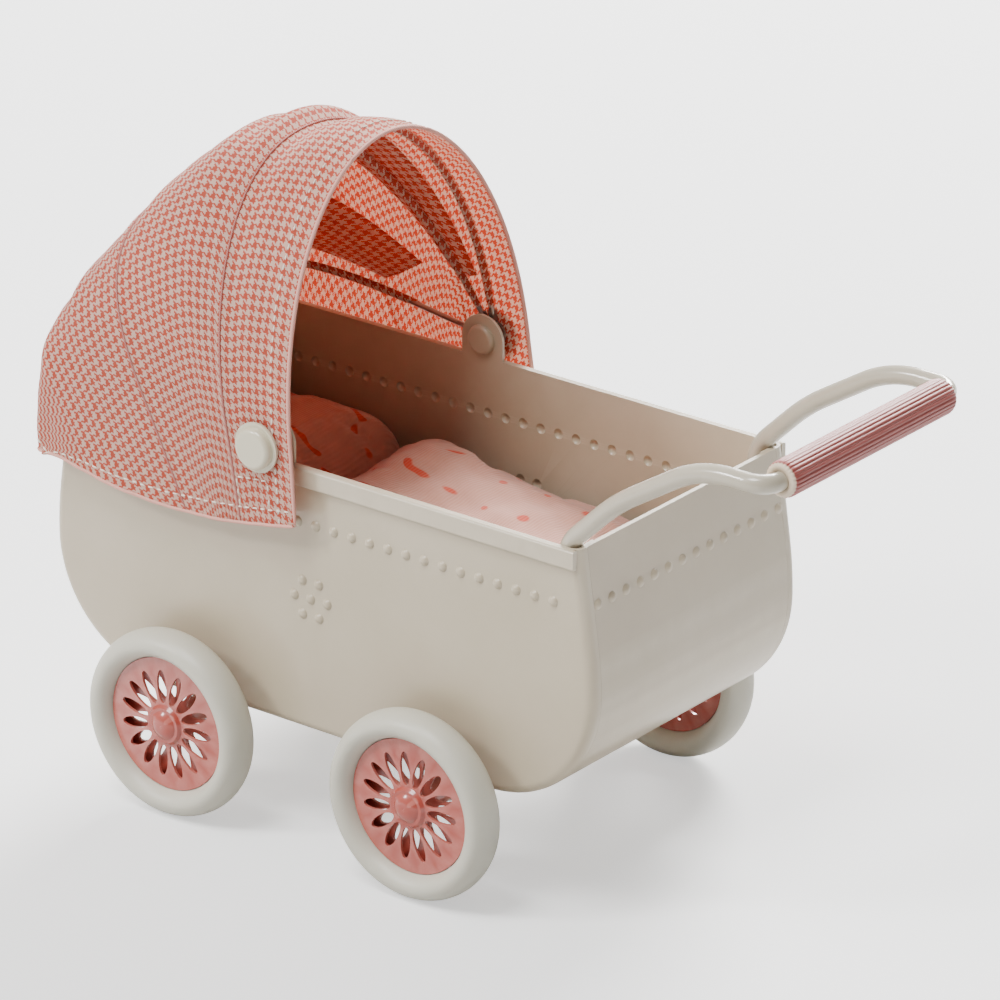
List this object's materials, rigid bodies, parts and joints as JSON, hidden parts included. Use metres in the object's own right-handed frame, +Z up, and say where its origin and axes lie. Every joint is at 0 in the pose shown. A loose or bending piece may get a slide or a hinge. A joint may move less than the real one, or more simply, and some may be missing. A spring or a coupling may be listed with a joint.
{
  "type": "doll_stroller",
  "caption": "Miniature tin doll pram with a rounded sheet-metal tub, slotted disc wheels, bent wire handle with a grip, folding check-cloth hood and bedding",
  "frame": {"origin": "middle of the base of the bounding box, on the ground", "axes": "+X towards the handle end, +Y to the right of whoever pushes, +Z up"},
  "size_m": [0.1595, 0.0816, 0.1225],
  "materials": {
    "cream_paint": "satin gloss stove enamel on tin sheet",
    "cream_enamel": "glossy enamel on wire",
    "rose_wood": "dusty rose lacquer on a fluted turned grip",
    "pale_rubber": "smooth off-white rubber",
    "coral_enamel": "glossy coral pink enamel",
    "check_cloth": "fine coral and off-white woven check, thin cotton",
    "ivory_snap": "ivory lacquered press-stud",
    "steel_wire": "plain wire and rivet steel",
    "dotted_jersey": "dusty pink knitted jersey with small red-orange dots"
  },
  "bodies": {
    "tub": {"tub_side_left": "cream_paint", "tub_side_right": "cream_paint", "tub_ends_and_floor": "cream_paint", "bracket_rivets": "cream_paint", "bracket_hood_end_left": "cream_paint", "bracket_hood_end_right": "cream_paint", "bracket_handle_end_left": "cream_paint", "bracket_handle_end_right": "cream_paint", "handle_rod": "cream_enamel", "handle_grip": "rose_wood", "handle_strap_left": "cream_paint", "handle_strap_right": "cream_paint", "hood_stud_left": "cream_paint", "hood_stud_right": "cream_paint", "hood_snap_left": "ivory_snap", "hood_snap_right": "ivory_snap", "hood_washer_left": "steel_wire", "hood_washer_right": "steel_wire", "hood_skirt": "check_cloth", "mattress": "dotted_jersey"},
    "front_wheelset": {"axle_handle_end": "cream_paint", "tyre_handle_end_left": "pale_rubber", "outer_disc_handle_end_left": "coral_enamel", "inner_disc_handle_end_left": "coral_enamel", "hub_handle_end_left": "coral_enamel", "tyre_handle_end_right": "pale_rubber", "outer_disc_handle_end_right": "coral_enamel", "inner_disc_handle_end_right": "coral_enamel", "hub_handle_end_right": "coral_enamel"},
    "rear_wheelset": {"axle_hood_end": "cream_paint", "tyre_hood_end_left": "pale_rubber", "outer_disc_hood_end_left": "coral_enamel", "inner_disc_hood_end_left": "coral_enamel", "hub_hood_end_left": "coral_enamel", "tyre_hood_end_right": "pale_rubber", "outer_disc_hood_end_right": "coral_enamel", "inner_disc_hood_end_right": "coral_enamel", "hub_hood_end_right": "coral_enamel"},
    "hood_front": {"hood_bow_front": "steel_wire", "hood_cloth_front": "check_cloth"},
    "hood_middle": {"hood_bow_middle": "steel_wire", "hood_cloth_middle": "check_cloth"},
    "hood_rear": {"hood_bow_rear": "steel_wire"},
    "pillow_body": {"pillow": "dotted_jersey"},
    "duvet_body": {"duvet": "dotted_jersey"}
  },
  "joints": [
    {"name": "front_axle_turn", "type": "hinge", "parent": "tub", "child": "front_wheelset", "pos_m": [0.0094, 0, 0.0175], "axis": [0, 1, 0], "continuous": true},
    {"name": "rear_axle_turn", "type": "hinge", "parent": "tub", "child": "rear_wheelset", "pos_m": [-0.0456, 0, 0.0175], "axis": [0, 1, 0], "continuous": true},
    {"name": "hood_fold", "type": "hinge", "parent": "tub", "child": "hood_front", "pos_m": [-0.0274, 0, 0.074], "axis": [0, -1, 0], "range_deg": [0, 61], "deforming": ["hood_cloth_front", "hood_cloth_middle"]},
    {"name": "hood_middle_fold", "type": "hinge", "parent": "tub", "child": "hood_middle", "pos_m": [-0.0274, 0, 0.074], "axis": [0, -1, 0], "range_deg": [0, 47]},
    {"name": "hood_rear_fold", "type": "hinge", "parent": "tub", "child": "hood_rear", "pos_m": [-0.0274, 0, 0.074], "axis": [0, -1, 0], "range_deg": [0, 6.2]},
    {"name": "pillow_lift", "type": "slide", "parent": "tub", "child": "pillow_body", "axis": [0, 0, 1], "range_m": [0, 0.016]},
    {"name": "duvet_lift", "type": "slide", "parent": "tub", "child": "duvet_body", "axis": [0, 0, 1], "range_m": [0, 0.04]}
  ],
  "couplings": [
    {"joint": "hood_middle_fold", "follows": "hood_fold", "ratio": 0.77},
    {"joint": "hood_rear_fold", "follows": "hood_fold", "ratio": 0.1}
  ]
}
